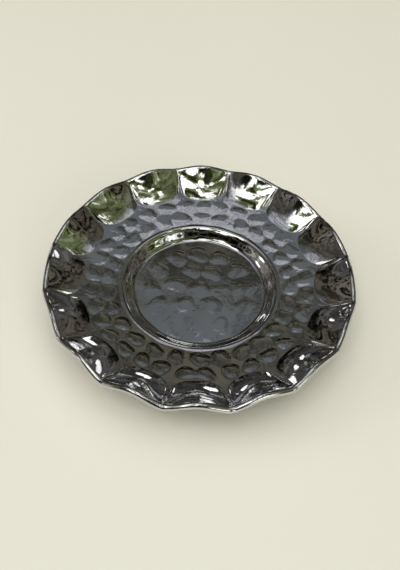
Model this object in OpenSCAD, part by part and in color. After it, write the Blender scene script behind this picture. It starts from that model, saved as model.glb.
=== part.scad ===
// Fluted tea saucer: a pressed and fired ceramic body under a mirror-bright metallic glaze.
// Millimetres, +Z up. The origin is the centre of the foot ring, on the surface it stands on.
// The rim is pressed into cupped scoops with a sharp crease between neighbours, and the middle
// of one scoop faces -Y. Glaze covers everything but the foot ring, so it is made in three
// pieces that lie on the body: the face, the back and the recess inside the foot ring.

/* [Saucer] */
// Diameter over the tips, where neighbouring scoops meet at the rim
saucer_d = 150; // [140:1:180]
// Thickness of the wall with the glaze on both faces
wall_t = 3.2; // [2.6:0.1:3.9]
// Rise of the tips above the edge of the well
tip_rise = 8.9; // [7.4:0.1:11]
// Slope of the plain wall between the well and the scoops, in degrees
wall_slope = 7; // [2:0.5:9]

/* [Scoops] */
// Number of scoops around the rim
scoops = 16; // [12:1:20]
// Length of a scoop from the tips to its inner end
scoop_len = 16.4; // [13:0.1:19.7]
// How far the middle of a scoop is pressed below the crease beside it
scoop_depth = 1.1; // [0.6:0.05:1.5]
// How far the rim stands above the tips in the middle of a scoop
rim_lift = 2.7; // [2:0.1:3.4]
// How far the rim is drawn in at the middle of a scoop
rim_pull = 1.5; // [0.8:0.1:2]

/* [Cup well] */
// Diameter of the well at its raised edge
well_d = 77.4; // [64:0.1:84]
// Width of the sloping wall between the raised edge and the flat floor that the cup stands on
well_run = 7.2; // [6:0.1:12]
// Depth of the floor below the edge of the well
well_depth = 4.7; // [3.8:0.1:5.8]
// Height of the floor above the surface the saucer stands on
floor_h = 6; // [5.4:0.1:7.2]
// Height of the rounded edge around the well above the start of the wall
bead_h = 0.12; // [0.08:0.01:0.3]

/* [Foot ring] */
// Outside diameter of the foot ring
foot_d = 70; // [58:0.5:84]
// Width of the flat that the saucer stands on
foot_w = 2.6; // [2:0.1:3.2]
// Height of the foot ring below the recess
foot_h = 2.8; // [2.2:0.1:3.2]

/* [Glaze] */
// Thickness of the glaze
glaze_t = 0.6; // [0.5:0.05:0.7]

/* [Raised marks] */
// Width of a raised mark on the wall
mark_d = 7.4; // [6:0.1:8.4]
// Height of a raised mark on the wall
mark_h = 0.25; // [0.15:0.05:0.35]
// Spacing of the marks along their rows
mark_pitch = 9.6; // [9:0.1:14]
// Width of a raised mark on the floor
floor_mark_d = 9.6; // [8:0.1:10.2]
// Height of a raised mark on the floor
floor_mark_h = 0.2; // [0.1:0.05:0.3]
// Spacing of the marks along their rings on the floor
floor_mark_pitch = 12; // [11:0.1:16]

/* [Hidden] */
$fn = 96;

// The plain wall runs from the edge of the well to the scoops, and the tips stand above it
well_r = well_d / 2;
well_z = floor_h + well_depth;
lip_r = wall_t / 2;
tip_lean = 50;
tip_r = saucer_d / 2 - lip_r * (1 + sin(tip_lean));
tip_z = well_z + tip_rise;

// The crease between two scoops is short, and the wall runs out between them towards the tip
crease_len = 5.5;
// How square the inner edge of a scoop is, and how pointed the rim is between two tips
edge_square = 2.5;
peak = 0.35;
// Across, a scoop is bellied; the crease stands above its mean by this share of the depth
belly_power = 0.6;
crease_share = 0.6;
// How steeply a scoop starts from the wall, and how late it is deepest
first_rise = 0.66;
swell_lead = 1.1;
swell_top = pow(swell_lead / (1 + swell_lead), swell_lead) / (1 + swell_lead);

// Sections per scoop and steps along each stretch of a section
cols = 6;
well_steps = 4;
wall_steps = 2;
scoop_steps = 6;
lip_steps = 3;
back_steps = 3;
// Scoop rings crowd towards the inner end, where the curve is tightest
ring_crowd = 1.4;

// The floor is a plain disc that reaches a little way under the lofted wall
floor_r = well_r - well_run;
disc_inset = 0.6;
disc_r = floor_r - disc_inset;
disc_lap = 1.9;
hole_r = disc_r - disc_lap;
// The well wall rises in a soft curve through this angle and ends in the rounded edge
well_turn = 174.6;
bead_half = 0.6;
bead_r = well_r + bead_half;

// The foot ring and the bare margin beside it
foot_r = foot_d / 2;
foot_flare = 0.5;
foot_edge = 0.4;
foot_root = 0.8;
bare_margin = 0.4;
body_base = foot_h + glaze_t;
toe_r = foot_r + foot_flare + bare_margin;
recess_r = foot_r - foot_w - 2 * foot_edge - foot_flare - bare_margin;
hip_reach = 3;
hip_r = max(well_r, toe_r) + hip_reach;
toe_slope = 45;

// How far a mark's cap is let into the glaze, and how far it is wider there
cap_sink = 0.2;
cap_skirt = 0.2;
// Clear glaze between the skirts of neighbouring caps
cap_clear = 0.05;

// Rows of raised marks from beside the well to the scoops, as many as there is room for
inner_mark_gap = 0.9;
inner_mark_r = bead_r + inner_mark_gap + mark_d / 2;
outer_mark_gap = 0.3;
outer_mark_r = tip_r - scoop_len - outer_mark_gap - mark_d / 2;
mark_land = 2 * cap_skirt + cap_clear;
mark_room = max(0, outer_mark_r - inner_mark_r);
mark_rows = floor(mark_room / (mark_d + mark_land));
mark_row_step = mark_room / max(1, mark_rows);

// Rings of raised marks on the floor around one in the middle
floor_mark_gap = 3.5;
floor_mark_r = floor_r - floor_mark_gap - floor_mark_d / 2;
floor_mark_land = 1.4;
floor_rings = floor(floor_mark_r / (floor_mark_d + floor_mark_land));
floor_ring_step = floor_mark_r / max(1, floor_rings);

body_colour = "#cfc6b2";
glaze_colour = "#85878c";

// Height of the plain wall at radius r
function wall_z(r) = well_z + tan(wall_slope) * (r - well_r);

// A scoop is followed across by u, from -1 on one crease to 1 on the next, and outward by v,
// from 0 on its inner edge to 1 at the rim
function crest(u) = (1 - peak) * (1 + cos(180 * u)) / 2 + peak * (1 - u * u);
function rim_r(u) = tip_r - rim_pull * crest(u);
function rim_z(u) = tip_z + rim_lift * crest(u);
function scoop_edge(u) = pow(max(0, 1 - pow(abs(u), edge_square)), 1 / edge_square);
function scoop_r(u) = tip_r - crease_len - (scoop_len - crease_len) * scoop_edge(u);
function scoop_rise(u) = rim_z(u) - wall_z(scoop_r(u));
function pressed(u) = scoop_depth * (pow(max(0, 1 - u * u), belly_power) - crease_share);
function scoop_point(u, v) =
    let (
        rise = first_rise * v + (1 - first_rise) * v * v,
        swell = pow(v, swell_lead) * (1 - v) / swell_top
    )
    [
        scoop_r(u) + v * (rim_r(u) - scoop_r(u)),
        wall_z(scoop_r(u)) + scoop_rise(u) * rise - pressed(u) * swell
    ];

// Lean of the wall at the rim, and on the way there; layers are set off along it
function rim_lean(u) =
    atan((scoop_rise(u) * (2 - first_rise) + pressed(u) / swell_top) / (rim_r(u) - scoop_r(u)));
function lean(u, v) = (1 - v) * wall_slope + v * rim_lean(u);
function below(point, angle, depth) = point + depth * [sin(angle), -cos(angle)];

// Stretches of a section, each a list of [radius, height] at one depth below the face
function well_part(depth) = [
    for (k = [0 : well_steps])
        let (t = k / well_steps)
        [
            floor_r + t * (well_r - bead_half - floor_r),
            floor_h - depth + (well_depth + bead_h) * (1 - cos(well_turn * t)) / (1 - cos(well_turn))
        ]
];
function wall_part(u, depth) = [
    for (k = [0 : wall_steps - 1])
        let (r = bead_r + k / wall_steps * (scoop_r(u) - bead_r))
        below([r, wall_z(r)], wall_slope, depth)
];
function scoop_part(u, depth) = [
    for (k = [0 : scoop_steps])
        let (v = pow(k / scoop_steps, ring_crowd))
        below(scoop_point(u, v), lean(u, v), depth)
];
function lip_part(u, radius) =
    let (centre = below(scoop_point(u, 1), rim_lean(u), lip_r))
    [
        for (k = [1 : lip_steps])
            let (a = 180 * k / lip_steps)
            below(centre, rim_lean(u) + 180 - a, radius)
    ];
function face_part(u, depth) = concat(
    [[hole_r, floor_h - depth]],
    well_part(depth),
    wall_part(u, depth),
    scoop_part(u, depth),
    lip_part(u, lip_r - depth)
);
// The back runs in from the lip to the hip under the well, and down to the toe by the foot ring
function back_part(u, rise) =
    concat(
        [
            for (k = [back_steps - 1 : -1 : 0])
                let (v = k / back_steps)
                below(scoop_point(u, v), lean(u, v), wall_t - rise)
        ],
        [
            below([hip_r, wall_z(hip_r)], wall_slope, wall_t - rise),
            below(([hip_r, wall_z(hip_r) - wall_t] + [toe_r, foot_h]) / 2, toe_slope, -rise),
            [toe_r, foot_h + rise]
        ]
    );

// Lofts a closed section around the axis, one section at each column of each scoop
function column_u(j) = sin(90 * (2 * (j % cols) / cols - 1));
function column_angle(j) = -90 + (floor(j / cols) + column_u(j) / 2) * 360 / scoops;
module loft(sections) {
    n = len(sections[0]);
    count = scoops * cols;
    points = [
        for (j = [0 : count - 1])
            for (p = sections[j % cols])
                [p.x * cos(column_angle(j)), p.x * sin(column_angle(j)), p.y]
    ];
    faces = [
        for (j = [0 : count - 1])
            for (i = [0 : n - 1])
                let (
                    a = j * n + i,
                    b = j * n + (i + 1) % n,
                    c = ((j + 1) % count) * n + (i + 1) % n,
                    d = ((j + 1) % count) * n + i
                )
                each [[a, d, c], [a, c, b]]
    ];
    polyhedron(points, faces);
}

function reversed(list) = [for (k = [len(list) - 1 : -1 : 0]) list[k]];

// A flat disc of the floor between two heights
module disc(radius, low, high) {
    translate([0, 0, low]) cylinder(r = radius, h = high - low);
}

// A low round cap of the given width and height above the level it is let into
module raised_cap(width, height) {
    ball_r = (pow(width / 2, 2) + pow(height, 2)) / (2 * height);
    intersection() {
        translate([0, 0, height - ball_r]) sphere(r = ball_r);
        translate([0, 0, -cap_sink]) cylinder(d = width + 2 * cap_skirt, h = cap_sink + 2 * height);
    }
}
// A row of caps around the saucer at radius r, each square to a wall of the given slope
module mark_row(r, z, slope, pitch, turn, width, height) {
    count = max(1, floor(2 * PI * r / pitch));
    for (k = [0 : count - 1])
        rotate(-90 + (k + turn) * 360 / count)
            translate([r, 0, z])
                rotate([0, -slope, 0])
                    raised_cap(width, height);
}
module raised_marks() {
    for (row = [0 : mark_rows])
        let (r = inner_mark_r + row * mark_row_step)
        mark_row(r, wall_z(r), wall_slope, mark_pitch, row / 2, mark_d, mark_h);
    for (ring = [0 : floor_rings])
        mark_row(ring * floor_ring_step, floor_h, 0, floor_mark_pitch, ring / 2, floor_mark_d, floor_mark_h);
}

// The foot ring flares a little towards the body and has broken edges on its flat
module foot_ring() {
    inside = foot_r - foot_w - 2 * foot_edge;
    rotate_extrude()
        polygon([
            [inside + foot_edge, 0],
            [foot_r - foot_edge, 0],
            [foot_r, foot_edge],
            [foot_r + foot_flare, body_base],
            [foot_r + foot_flare, body_base + foot_root],
            [inside - foot_flare, body_base + foot_root],
            [inside - foot_flare, body_base],
            [inside, foot_edge]
        ]);
}

module ceramic_body() {
    color(body_colour) union() {
        loft([
            for (j = [0 : cols - 1])
                let (u = column_u(j))
                concat(face_part(u, glaze_t), back_part(u, glaze_t), [[hole_r, body_base]])
        ]);
        disc(disc_r, body_base, floor_h - glaze_t);
        foot_ring();
    }
}

module face_glaze() {
    color(glaze_colour) union() {
        loft([
            for (j = [0 : cols - 1])
                concat(face_part(column_u(j), 0), reversed(face_part(column_u(j), glaze_t)))
        ]);
        disc(disc_r, floor_h - glaze_t, floor_h);
        raised_marks();
    }
}

module back_glaze() {
    color(glaze_colour) loft([
        for (j = [0 : cols - 1])
            let (u = column_u(j), edge = lip_part(u, lip_r)[lip_steps - 1])
            concat([edge], back_part(u, 0), reversed(back_part(u, glaze_t)),
                [lip_part(u, lip_r - glaze_t)[lip_steps - 1]])
    ]);
}

module recess_glaze() {
    color(glaze_colour) disc(recess_r, foot_h, body_base);
}

ceramic_body();
face_glaze();
back_glaze();
recess_glaze();
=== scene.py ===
import math

import bpy
import numpy as np
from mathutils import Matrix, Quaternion, Vector


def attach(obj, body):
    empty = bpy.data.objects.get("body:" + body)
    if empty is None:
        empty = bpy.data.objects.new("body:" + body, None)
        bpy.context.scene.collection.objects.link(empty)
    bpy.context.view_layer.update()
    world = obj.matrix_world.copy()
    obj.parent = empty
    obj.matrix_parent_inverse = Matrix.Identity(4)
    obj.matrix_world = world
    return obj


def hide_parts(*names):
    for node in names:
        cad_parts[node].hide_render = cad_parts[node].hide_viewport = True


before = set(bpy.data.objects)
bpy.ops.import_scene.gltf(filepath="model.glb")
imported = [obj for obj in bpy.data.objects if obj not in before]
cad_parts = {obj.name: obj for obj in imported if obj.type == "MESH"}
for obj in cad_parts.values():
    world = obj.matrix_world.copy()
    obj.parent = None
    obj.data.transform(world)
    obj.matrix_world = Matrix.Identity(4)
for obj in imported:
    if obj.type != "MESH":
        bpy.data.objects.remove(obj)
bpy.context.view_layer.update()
MM = 0.001

# Sizes of the saucer in millimetres. TIP_REACH and TIP_RISE are a hair small, so that the round lip stays
# inside the box of the faceted model.
SCOOPS = 16
WALL_T = 3.2
LIP_R = WALL_T / 2
GLAZE_T = 0.6
TIP_REACH = 74.95
TIP_RISE = 8.83
TIP_LEAN = math.radians(50)
TIP_R = TIP_REACH - LIP_R * (1 + math.sin(TIP_LEAN))
WALL_LEAN = math.radians(7)
FLOOR_R, FLOOR_H = 31.5, 6.0
WELL_R, WELL_Z = 38.7, 10.7
WELL_TURN = 0.97 * math.pi
BEAD_HALF, BEAD_H = 0.6, 0.12
BEAD_R = WELL_R + BEAD_HALF

# The scoops: PEAK sharpens the tips of the rim, EDGE_SQUARE squares the inner edge of a scoop,
# BELLY_POWER and CREASE_SHARE set how deep it is across, FIRST_RISE and SWELL_LEAD how it climbs to the rim
CREASE_LEN, SCOOP_LEN, SCOOP_DEPTH = 5.5, 16.4, 1.1
RIM_LIFT, RIM_PULL = 2.7, 1.5
PEAK = 0.35
EDGE_SQUARE = 2.5
BELLY_POWER = 0.6
CREASE_SHARE = 0.6
FIRST_RISE = 0.66
SWELL_LEAD = 1.1

# Underside and foot ring
HIP_R = WELL_R + 3
BEND_IN, BEND_DOWN = 1.2, 0.5
FOOT_R, FOOT_W, FOOT_H = 35.0, 2.6, 2.8
FOOT_FLARE, FOOT_EDGE, FOOT_ROUND, BARE_MARGIN = 0.5, 0.4, 0.12, 0.4
TOE_R = FOOT_R + FOOT_FLARE + BARE_MARGIN
FOOT_IN = FOOT_R - FOOT_W - 2 * FOOT_EDGE
RECESS_R = FOOT_IN - FOOT_FLARE - BARE_MARGIN
RECESS_ROUND = 0.15
SOFT_REACH, SOFT_FROM_RIM = 4, 0.3

# Rows of the meshes in each zone, and columns around the saucer, closer together near the creases
FACE = dict(floor=48, well=20, bead=6, wall=40, scoop=34, lip=12)
FACE_UNDER = dict(floor=2, well=6, bead=2, wall=3, scoop=12, lip=6)
BACK = dict(scoop=24, wall=14, toe=12)
BACK_UNDER = dict(scoop=12, wall=7, toe=6)
SCOOP_CROWDING = 1.6
COLS_PER_SCOOP = 32
COLS = SCOOPS * COLS_PER_SCOOP
STEP = np.arange(COLS_PER_SCOOP) / COLS_PER_SCOOP * 2 - 1
ACROSS = 0.75 * STEP + 0.25 * np.sin(STEP * math.pi / 2)
U = np.tile(ACROSS, SCOOPS)
ANGLE = (np.repeat(np.arange(SCOOPS), COLS_PER_SCOOP) + U / 2) * 2 * math.pi / SCOOPS - math.pi / 2


def wall_z(r):
    return WELL_Z + math.tan(WALL_LEAN) * (r - WELL_R)


CREST = (1 - PEAK) * (1 + np.cos(math.pi * U)) / 2 + PEAK * (1 - U * U)
RIM_R = TIP_R - RIM_PULL * CREST
RIM_Z = WELL_Z + TIP_RISE + RIM_LIFT * CREST
SCOOP_EDGE = (1 - np.abs(U) ** EDGE_SQUARE) ** (1 / EDGE_SQUARE)
SCOOP_R = TIP_R - CREASE_LEN - (SCOOP_LEN - CREASE_LEN) * SCOOP_EDGE
SCOOP_Z = wall_z(SCOOP_R)
PRESSED = SCOOP_DEPTH * (np.maximum(0, 1 - U * U) ** BELLY_POWER - CREASE_SHARE)
SWELL_TOP = (SWELL_LEAD / (1 + SWELL_LEAD)) ** SWELL_LEAD / (1 + SWELL_LEAD)
RIM_LEAN = np.arctan(((RIM_Z - SCOOP_Z) * (2 - FIRST_RISE) + PRESSED / SWELL_TOP) / (RIM_R - SCOOP_R))


def below(r, z, lean, depth):
    """The point at a depth below a surface that leans up and outward by the angle lean."""
    return r + depth * np.sin(lean), z - depth * np.cos(lean)


def scoop_row(v, depth):
    """One row across all scoops at the share v of the way from inner edge to rim."""
    r = SCOOP_R + v * (RIM_R - SCOOP_R)
    rise = FIRST_RISE * v + (1 - FIRST_RISE) * v * v
    z = SCOOP_Z + (RIM_Z - SCOOP_Z) * rise - PRESSED * v ** SWELL_LEAD * (1 - v) / SWELL_TOP
    return below(r, z, (1 - v) * WALL_LEAN + v * RIM_LEAN, depth)


def lip_row(share, radius):
    """One row of the rounded lip; share runs from 0 on the face to 1 on the back."""
    r, z = scoop_row(1.0, LIP_R)
    return below(r, z, RIM_LEAN + math.pi * (1 - share), radius)


def round_row(r, z):
    return np.full(COLS, float(r)), np.full(COLS, float(z))


def well_row(t, depth):
    rise = (WELL_Z - FLOOR_H + BEAD_H) * (1 - math.cos(WELL_TURN * t)) / (1 - math.cos(WELL_TURN))
    return round_row(FLOOR_R + t * (WELL_R - BEAD_HALF - FLOOR_R), FLOOR_H + rise - depth)


def bead_row(t, depth):
    low = wall_z(BEAD_R)
    top = WELL_Z + BEAD_H
    z = low + (top - low) * (1 + math.cos(math.pi * t)) / 2
    return round_row(WELL_R - BEAD_HALF + t * 2 * BEAD_HALF, z - depth)


def wall_row(t, depth):
    r = BEAD_R + t * (SCOOP_R - BEAD_R)
    return below(r, wall_z(r), WALL_LEAN, depth)


def face_rows(depth, floor, well, bead, wall, scoop, lip):
    """Rows of the upper face from the floor to the underside of the lip."""
    rows = [round_row(FLOOR_R * (k + 1) / (floor + 1), FLOOR_H - depth) for k in range(floor)]
    rows += [well_row(k / well, depth) for k in range(well)]
    rows += [bead_row(k / bead, depth) for k in range(bead)]
    rows += [wall_row(k / wall, depth) for k in range(wall)]
    rows += [scoop_row((k / scoop) ** SCOOP_CROWDING, depth) for k in range(scoop)]
    rows += [lip_row(k / lip, LIP_R - depth) for k in range(lip + 1)]
    return rows


def softened(row, share):
    """Evens a row of the underside out across the columns, so that no thin fin hangs below a crease."""
    shifts = np.arange(-SOFT_REACH, SOFT_REACH + 1)
    weights = 1 + np.cos(math.pi * shifts / (SOFT_REACH + 1))
    weights = weights / weights.sum()
    share = min(1, share) ** 2 * (3 - 2 * min(1, share))
    evened = [sum(np.roll(values, int(k)) * w for k, w in zip(shifts, weights)) for values in row]
    return [values + share * (even - values) for values, even in zip(row, evened)]


def back_rows(rise, scoop, wall, toe):
    """Rows of the underside from the lip in to the bare margin by the foot ring."""
    depth = WALL_T - rise
    rows = [softened(scoop_row(1 - k / scoop, depth), k / scoop / SOFT_FROM_RIM)
            for k in range(1, scoop + 1)]
    near_hip = (HIP_R - BEAD_R) / (SCOOP_R - BEAD_R)
    rows += [softened(wall_row(1 - k / wall * (1 - near_hip), depth), 1) for k in range(1, wall)]
    hip = below(HIP_R, wall_z(HIP_R), WALL_LEAN, depth)
    bend = [hip[0] - BEND_IN, hip[1] - BEND_DOWN]
    end = [TOE_R, FOOT_H + rise]
    for k in range(toe + 1):
        t = k / toe
        rows.append(round_row(*[
            (1 - t) ** 2 * a + 2 * t * (1 - t) * b + t * t * c for a, b, c in zip(hip, bend, end)
        ]))
    return rows


def to_points(rows):
    r = np.array([row[0] for row in rows])
    z = np.array([row[1] for row in rows])
    return np.stack([r * np.cos(ANGLE), r * np.sin(ANGLE), z], -1)


# Raised marks, strewn a little by a fixed series, with outlines made uneven by OVAL and TRIANGLE.
# Those on the floor are higher towards the far side.
TURN_STRAY, SIZE_STRAY, HEIGHT_STRAY = 0.2, 0.16, 0.3
FAR_GAIN, FAR_REACH = 0.68, 23
MARK_SLANT = 0.6
OVAL, TRIANGLE = 0.13, 0.08
MARK_LIMIT = 1.8
WALL_STRETCH = 1.2
FADE_OVER_SCOOP = 0.35
WAVE_H = 0.02


def scatter(k, salt):
    return math.modf(math.sin(k * 12.9898 + salt * 78.233) * 43758.5453)[0]


def mark_row(count, radius, half, height, turn, stray, far_gain=0):
    """Marks in a ring: centre, half width, height, and a number that varies the outline."""
    marks = []
    for k in range(count):
        angle = (k + turn + TURN_STRAY * scatter(k, radius)) * 2 * math.pi / count - math.pi / 2
        r = radius + stray * scatter(k, radius + 1)
        x, y = r * math.cos(angle), r * math.sin(angle)
        size = half * (1 + SIZE_STRAY * scatter(k, radius + 2))
        top = height * (1 + HEIGHT_STRAY * scatter(k, radius + 3)) * (1 + far_gain * y / FAR_REACH)
        marks.append((x, y, size, top, k + radius))
    return marks


FLOOR_MARKS = (mark_row(1, 0.5, 5.0, 0.1, 0, 0, FAR_GAIN)
               + mark_row(6, 11.6, 5.1, 0.1, 0.5, 0.8, FAR_GAIN)
               + mark_row(12, 23.2, 5.0, 0.1, 0, 0.6, FAR_GAIN))
WALL_MARKS = mark_row(28, 44.1, 4.0, 0.17, 0, 0.6) + mark_row(33, 51.7, 3.9, 0.17, 0.5, 0.6)


def mark_height(x, y, marks, stretch, slant_out):
    """Height of the raised marks, highest on one side; stretch lengthens them around the axis."""
    height = np.zeros_like(x)
    for mx, my, half, top, salt in marks:
        dx, dy = x - mx, y - my
        near = np.hypot(dx, dy) < half * MARK_LIMIT
        dx, dy = dx[near], dy[near]
        away = math.hypot(mx, my)
        out, along = (dx * mx + dy * my) / away, (dy * mx - dx * my) / away / stretch
        turn = np.arctan2(along, out)
        edge = half * (1 + OVAL * np.sin(2 * turn + salt * 1.7) + TRIANGLE * np.sin(3 * turn + salt * 2.9))
        share = np.hypot(out, along) / edge
        slant = (out if slant_out else -dy) / half
        raised = top * np.maximum(0, 1 - share ** 3) * (1 - MARK_SLANT * slant)
        height[near] = np.maximum(height[near], raised)
    return height


def marked(points):
    """Adds the raised marks and a slight waviness to the rows of the face."""
    x, y = points[..., 0], points[..., 1]
    rows = np.arange(len(points))
    wall_from = FACE["floor"] + FACE["well"] + FACE["bead"]
    scoop_from = wall_from + FACE["wall"]
    lip_from = scoop_from + FACE["scoop"]
    on_floor, on_wall = rows < FACE["floor"] + 1, rows >= wall_from
    fade = np.clip(1 - (rows - scoop_from) / (FADE_OVER_SCOOP * FACE["scoop"]), 0, 1)
    floor_height = mark_height(x, y, FLOOR_MARKS, 1.0, False)
    wall_height = np.where(on_wall, fade, 0)[:, None] * mark_height(x, y, WALL_MARKS, WALL_STRETCH, True)
    height = np.where(on_floor[:, None], floor_height, wall_height)
    wave = WAVE_H * (np.sin(0.42 * x + 1.3 * np.sin(0.23 * y))
                     + np.sin(0.39 * y + 1.1 * np.sin(0.27 * x + 2)))
    waved = (on_floor | on_wall) & (rows < lip_from)
    points[..., 2] += height + wave * waved[:, None]
    return points


def loft_mesh(name, points, closed_ends):
    """A closed mesh of rows of points; closed_ends puts a point on the axis at either end."""
    rows, cols, _ = points.shape
    verts = points.reshape(-1, 3)
    j = np.arange(cols)
    ahead = (j + 1) % cols
    last = rows - 1 if closed_ends else rows
    quads = []
    for i in range(last):
        a, b = i * cols, ((i + 1) % rows) * cols
        quads.append(np.stack([a + j, a + ahead, b + ahead, b + j], -1))
    faces = np.concatenate(quads).tolist()
    if closed_ends:
        ends = [[0, 0, points[i, :, 2].mean()] for i in (0, -1)]
        verts = np.concatenate([verts, ends])
        first, second = rows * cols, rows * cols + 1
        top = (rows - 1) * cols
        faces += np.stack([np.full(cols, first), ahead, j], -1).tolist()
        faces += np.stack([np.full(cols, second), top + j, top + ahead], -1).tolist()
    mesh = bpy.data.meshes.new(name)
    mesh.from_pydata((verts * MM).tolist(), [], faces)
    mesh.polygons.foreach_set("use_smooth", [True] * len(mesh.polygons))
    mesh.validate()
    piece = bpy.data.objects.new(name, mesh)
    bpy.context.scene.collection.objects.link(piece)
    return piece


def face_glaze():
    outer = marked(to_points(face_rows(0, **FACE)))
    under = to_points(face_rows(GLAZE_T, **FACE_UNDER))
    return loft_mesh("glaze_face", np.concatenate([outer, under[::-1]]), True)


def back_glaze():
    outer = [lip_row(1.0, LIP_R)] + back_rows(0, **BACK)
    under = [lip_row(1.0, LIP_R - GLAZE_T)] + back_rows(GLAZE_T, **BACK_UNDER)
    return loft_mesh("glaze_back", to_points(outer + under[::-1]), False)


def recess_glaze():
    top = FOOT_H + GLAZE_T
    profile = [(RECESS_R * k / 12, FOOT_H) for k in range(1, 12)]
    profile += [(RECESS_R - RECESS_ROUND, FOOT_H), (RECESS_R, FOOT_H + RECESS_ROUND), (RECESS_R, top)]
    profile += [(RECESS_R * k / 4, top) for k in (3, 2, 1)]
    points = to_points([round_row(*p) for p in profile])
    return loft_mesh("glaze_recess", points[::-1], True)


def clay_body():
    face = face_rows(GLAZE_T, **FACE_UNDER)
    back = back_rows(GLAZE_T, **BACK_UNDER)
    base = FOOT_H + GLAZE_T
    foot = [(FOOT_R + FOOT_FLARE, base), (FOOT_R + FOOT_FLARE * 0.5, base / 2), (FOOT_R, FOOT_EDGE),
            (FOOT_R - FOOT_ROUND, FOOT_ROUND), (FOOT_R - FOOT_EDGE, 0),
            (FOOT_IN + FOOT_EDGE, 0), (FOOT_IN + FOOT_ROUND, FOOT_ROUND),
            (FOOT_IN, FOOT_EDGE), (FOOT_IN - FOOT_FLARE * 0.5, base / 2), (FOOT_IN - FOOT_FLARE, base)]
    foot += [(FOOT_IN * k / 4, base) for k in (3, 2, 1)]
    return loft_mesh("clay_body", to_points(face + back + [round_row(*p) for p in foot]), True)


class Nodes:
    """Adds and links shader nodes of one tree."""

    def __init__(self, tree):
        self.tree = tree

    def add(self, kind, **values):
        node = self.tree.nodes.new("ShaderNode" + kind)
        for key, value in values.items():
            setattr(node, key, value)
        return node

    def put(self, socket, value):
        if isinstance(value, bpy.types.NodeSocket):
            self.tree.links.new(value, socket)
        else:
            socket.default_value = value

    def noise(self, vector, scale, detail, distortion=0.0):
        node = self.add("TexNoise")
        self.put(node.inputs["Vector"], vector)
        node.inputs["Scale"].default_value = scale
        node.inputs["Detail"].default_value = detail
        node.inputs["Distortion"].default_value = distortion
        return node.outputs["Fac"]

    def ramp(self, value, stops):
        node = self.add("ValToRGB")
        self.put(node.inputs["Fac"], value)
        band = node.color_ramp
        while len(band.elements) > 1:
            band.elements.remove(band.elements[-1])
        band.elements[0].position, band.elements[0].color = stops[0][0], (*stops[0][1], 1)
        for place, colour in stops[1:]:
            band.elements.new(place).color = (*colour, 1)
        return node.outputs["Color"]

    def spread(self, value, low, high, to_low=0.0, to_high=1.0):
        node = self.add("MapRange", interpolation_type="SMOOTHSTEP")
        for index, item in enumerate((value, low, high, to_low, to_high)):
            self.put(node.inputs[index], item)
        return node.outputs["Result"]

    def math(self, operation, *values):
        node = self.add("Math", operation=operation)
        for socket, value in zip(node.inputs, values):
            self.put(socket, value)
        return node.outputs[0]

    def mix(self, share, a, b):
        node = self.add("Mix", data_type="RGBA")
        for socket, value in ((node.inputs[0], share), (node.inputs[6], a), (node.inputs[7], b)):
            self.put(socket, value)
        return node.outputs[2]

    def bump(self, height, strength, distance):
        node = self.add("Bump")
        node.inputs["Strength"].default_value = strength
        node.inputs["Distance"].default_value = distance
        self.put(node.inputs["Height"], height)
        return node.outputs["Normal"]


def new_material(name):
    material = bpy.data.materials.new(name)
    material.use_nodes = True
    return Nodes(material.node_tree), material.node_tree.nodes["Principled BSDF"], material


def mirror_glaze():
    """Grey, mirror-bright metallic glaze with faint smudges and ripples."""
    n, shader, material = new_material("mirror_glaze")
    place = n.add("TexCoord").outputs["Object"]
    clouds = n.noise(place, 38, 3, 0.6)
    colour = n.ramp(clouds, [(0.3, (0.57, 0.565, 0.56)), (0.7, (0.66, 0.66, 0.675))])
    smudge = n.noise(place, 90, 4, 1.2)
    shader.inputs["Metallic"].default_value = 1
    n.put(shader.inputs["Base Color"], colour)
    n.put(shader.inputs["Roughness"], n.spread(smudge, 0.35, 0.75, 0.012, 0.045))
    ripple = n.noise(place, 260, 1.5, 0.8)
    n.put(shader.inputs["Normal"], n.bump(ripple, 0.05, 0.0008))
    return material


def bare_clay():
    """Matte buff clay with fine grain and dark specks."""
    n, shader, material = new_material("bare_clay")
    place = n.add("TexCoord").outputs["Object"]
    clouds = n.noise(place, 70, 4)
    grain = n.noise(place, 1800, 2)
    colour = n.ramp(clouds, [(0.3, (0.5, 0.44, 0.34)), (0.7, (0.64, 0.58, 0.47))])
    specks = n.spread(n.noise(place, 900, 1), 0.68, 0.74)
    n.put(shader.inputs["Base Color"], n.mix(specks, colour, (0.3, 0.24, 0.17, 1)))
    n.put(shader.inputs["Roughness"], n.spread(grain, 0.3, 0.7, 0.7, 0.88))
    n.put(shader.inputs["Normal"], n.bump(grain, 0.35, 0.0003))
    return material


def table_top():
    n, shader, material = new_material("table_top")
    place = n.add("TexCoord").outputs["Object"]
    shade = n.noise(place, 3, 3)
    colour = n.ramp(shade, [(0.3, (0.72, 0.7, 0.605)), (0.7, (0.745, 0.725, 0.63))])
    n.put(shader.inputs["Base Color"], colour)
    shader.inputs["Roughness"].default_value = 0.5
    return material


# The saucer
glaze, clay = mirror_glaze(), bare_clay()
for make, node, material, slot in (
        (face_glaze, "face_glaze", glaze, "mirror_glaze"),
        (back_glaze, "back_glaze", glaze, "mirror_glaze"),
        (recess_glaze, "recess_glaze", glaze, "mirror_glaze"),
        (clay_body, "ceramic_body", clay, "bare_clay")):
    piece = make()
    piece.data.materials.append(material)
    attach(piece, "root")
    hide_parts(node)

# Floor
FLOOR_SIZE = 6
bpy.ops.mesh.primitive_plane_add(size=FLOOR_SIZE)
floor = bpy.context.object
floor.name = "floor"
floor.data.materials.append(table_top())

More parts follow.
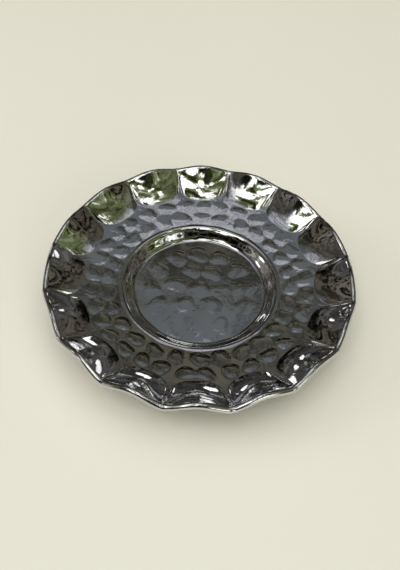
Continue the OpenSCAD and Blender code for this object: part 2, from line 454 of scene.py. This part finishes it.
# The room around the saucer: colours from the horizon (0) to overhead (1)
ROOM_WALLS = [
    (0.0, (0.08, 0.076, 0.072)), (0.1, (0.1, 0.096, 0.095)), (0.2, (0.1, 0.095, 0.09)),
    (0.29, (0.06, 0.055, 0.047)), (0.33, (0.01, 0.009, 0.007)), (0.41, (0.01, 0.009, 0.007)),
    (0.455, (0.066, 0.061, 0.045)), (0.5, (0.092, 0.088, 0.066)), (0.55, (0.078, 0.077, 0.063)),
    (0.585, (0.122, 0.13, 0.128)), (0.63, (0.12, 0.132, 0.145)), (0.66, (0.47, 0.475, 0.515)),
    (1.0, (0.5, 0.51, 0.54)),
]
SKY = (2.4, 2.4, 2.3)
GARDEN = [(0.36, (0.03, 0.035, 0.015)), (0.43, (0.13, 0.16, 0.06)), (0.49, (0.3, 0.34, 0.19)), (0.54, SKY)]
HEDGE = [(0.3, (0.015, 0.017, 0.009)), (0.38, (0.09, 0.105, 0.045)), (0.5, (0.15, 0.175, 0.08)),
         (0.62, (0.3, 0.33, 0.22)), (0.7, SKY)]
PALE, GLINT = (1.6, 1.6, 1.55), (2, 2, 1.95)
BROWN = (0.07, 0.063, 0.048)

# Round patches: azimuth, elevation, half width and softness in degrees, then a colour or a leafy view
ROOM_PATCHES = [
    # walls to the sides and behind
    (92, 34, 24, 12, (0.085, 0.076, 0.06)),
    (128, 34, 16, 9, BROWN),
    (-128, 34, 16, 9, BROWN),
    (-92, 36, 24, 12, (0.1, 0.09, 0.075)),
    (180, -4, 24, 7, (0.058, 0.056, 0.054)),
    (-85, 14, 22, 10, (0.22, 0.21, 0.19)),
    # windows in front and above, with dark shapes before them
    (58, 58, 33, 6, HEDGE),
    (-10, 73, 27, 3, GARDEN),
    (-40, 60, 16, 3, GARDEN),
    (2, 50, 8, 1.5, (0.014, 0.013, 0.012)),
    (18, 40, 6, 1.5, (0.07, 0.06, 0.045)),
    (40, 22, 17, 5, PALE),
    (-62, 45, 9, 3, (0.01, 0.01, 0.01)),
    (-6, 14, 14, 8, (0.03, 0.03, 0.02)),
    # small bright spots
    (-95, 27, 4, 2, PALE),
    (-70, 18, 6, 3, PALE),
    (173, 12, 3.6, 0.8, GLINT),
    (-168, 6, 2.6, 0.6, GLINT),
    (-155, 11, 2.4, 0.8, GLINT),
    (150, 7, 2.4, 0.8, GLINT),
]

# Scale, detail and distortion of the patterns in the room
SWAY_NOISE = 6, 3, 0.9
LEAF_NOISE = 4, 1.2, 0.6
CLUTTER_NOISE = 7, 3, 1.6

# Heights between which the sway of the walls fades out and the clutter comes and goes, and how strongly
# clutter dims and brightens the room where it is calm and where it is busy
SWAY, SWAY_FADES = 0.26, (0.3, 0.5)
BUSY_COMES, BUSY_GOES = (0.14, 0.26), (0.4, 0.55)
CLUTTER_EDGES = 0.36, 0.64
CALM_DIM, CALM_LIT = 0.62, 1.38
BUSY_DIM, BUSY_LIT = 0.05, 2.1


def aim(az, el):
    """Direction at azimuth az (0 to the front, 90 to the right) and elevation el."""
    a, e = math.radians(az), math.radians(el)
    return Vector((math.sin(a) * math.cos(e), -math.cos(a) * math.cos(e), math.sin(e)))


def room():
    """Walls and ceiling by height, swaying low down, then the patches, and clutter at mid height."""
    world = bpy.data.worlds.new("room")
    bpy.context.scene.world = world
    world.use_nodes = True
    n = Nodes(world.node_tree)
    ray = n.add("TexCoord").outputs["Generated"]
    split = n.add("SeparateXYZ")
    n.put(split.inputs[0], ray)
    height = n.math("MULTIPLY", n.math("ARCSINE", split.outputs["Z"]), 2 / math.pi)
    sway = n.math("SUBTRACT", n.noise(ray, *SWAY_NOISE), 0.5)
    swing = n.spread(height, *SWAY_FADES, SWAY, 0.0)
    colour = n.ramp(n.math("MULTIPLY_ADD", sway, swing, height), ROOM_WALLS)
    for az, el, half, soft, tint in ROOM_PATCHES:
        dot = n.add("VectorMath", operation="DOT_PRODUCT")
        n.put(dot.inputs[0], ray)
        dot.inputs[1].default_value = aim(az, el)
        inner, outer = (math.cos(math.radians(half + d)) for d in (-soft, soft))
        leafy = isinstance(tint, list)
        glow = n.ramp(n.noise(ray, *LEAF_NOISE), tint) if leafy else (*tint, 1)
        colour = n.mix(n.spread(dot.outputs["Value"], outer, inner), colour, glow)
    busy = n.math("MULTIPLY", n.spread(height, *BUSY_COMES), n.spread(height, *BUSY_GOES, 1.0, 0.0))
    dim = n.math("MULTIPLY_ADD", busy, BUSY_DIM - CALM_DIM, CALM_DIM)
    lit = n.math("MULTIPLY_ADD", busy, BUSY_LIT - CALM_LIT, CALM_LIT)
    clutter = n.spread(n.noise(ray, *CLUTTER_NOISE), *CLUTTER_EDGES, dim, lit)
    scaled = n.add("VectorMath", operation="SCALE")
    n.put(scaled.inputs[0], colour)
    n.put(scaled.inputs["Scale"], clutter)
    n.put(world.node_tree.nodes["Background"].inputs["Color"], scaled.outputs[0])


def lamp(name, az, el, distance, wide, high, power, colour):
    """A soft lamp aimed at the saucer, which the glaze doesn't mirror."""
    data = bpy.data.lights.new(name, "AREA")
    data.shape = "RECTANGLE"
    data.size, data.size_y = wide, high
    data.energy = power
    data.color = colour
    piece = bpy.data.objects.new(name, data)
    bpy.context.scene.collection.objects.link(piece)
    piece.location = aim(az, el) * distance
    piece.rotation_euler = aim(az, el).to_track_quat("Z", "Y").to_euler()
    piece.visible_camera = False
    piece.visible_glossy = False


WARM, WHITE = (1, 0.992, 0.985), (1, 1, 1)
room()
lamp("key", -130, 80, 1.6, 2.6, 2.6, 23, WARM)
lamp("fill", 30, 50, 1.8, 2.2, 2.2, 9.5, WARM)
lamp("window_left", -95, 28, 1.8, 0.7, 0.4, 5, WHITE)

# Camera at the photograph's viewing angle; the focal length is given in pixels of the picture's height
VIEW_AZ, VIEW_EL, VIEW_DISTANCE, VIEW_ROLL = -2.023, 51.6, 0.3165, 0.069
SENSOR, FOCAL_PX, PICTURE_PX = 36, 650, 570
TARGET = Vector((0.1, -1.02, WELL_Z)) * MM
camera = bpy.data.objects.new("camera", bpy.data.cameras.new("camera"))
bpy.context.scene.collection.objects.link(camera)
bpy.context.scene.camera = camera
camera.data.sensor_width = SENSOR
camera.data.lens = SENSOR * FOCAL_PX / PICTURE_PX
camera.location = TARGET + aim(VIEW_AZ, VIEW_EL) * VIEW_DISTANCE
camera.rotation_mode = "QUATERNION"
facing = aim(VIEW_AZ, VIEW_EL).to_track_quat("Z", "Y")
camera.rotation_quaternion = facing @ Quaternion((0, 0, 1), VIEW_ROLL)
bpy.context.scene.view_settings.view_transform = "Standard"
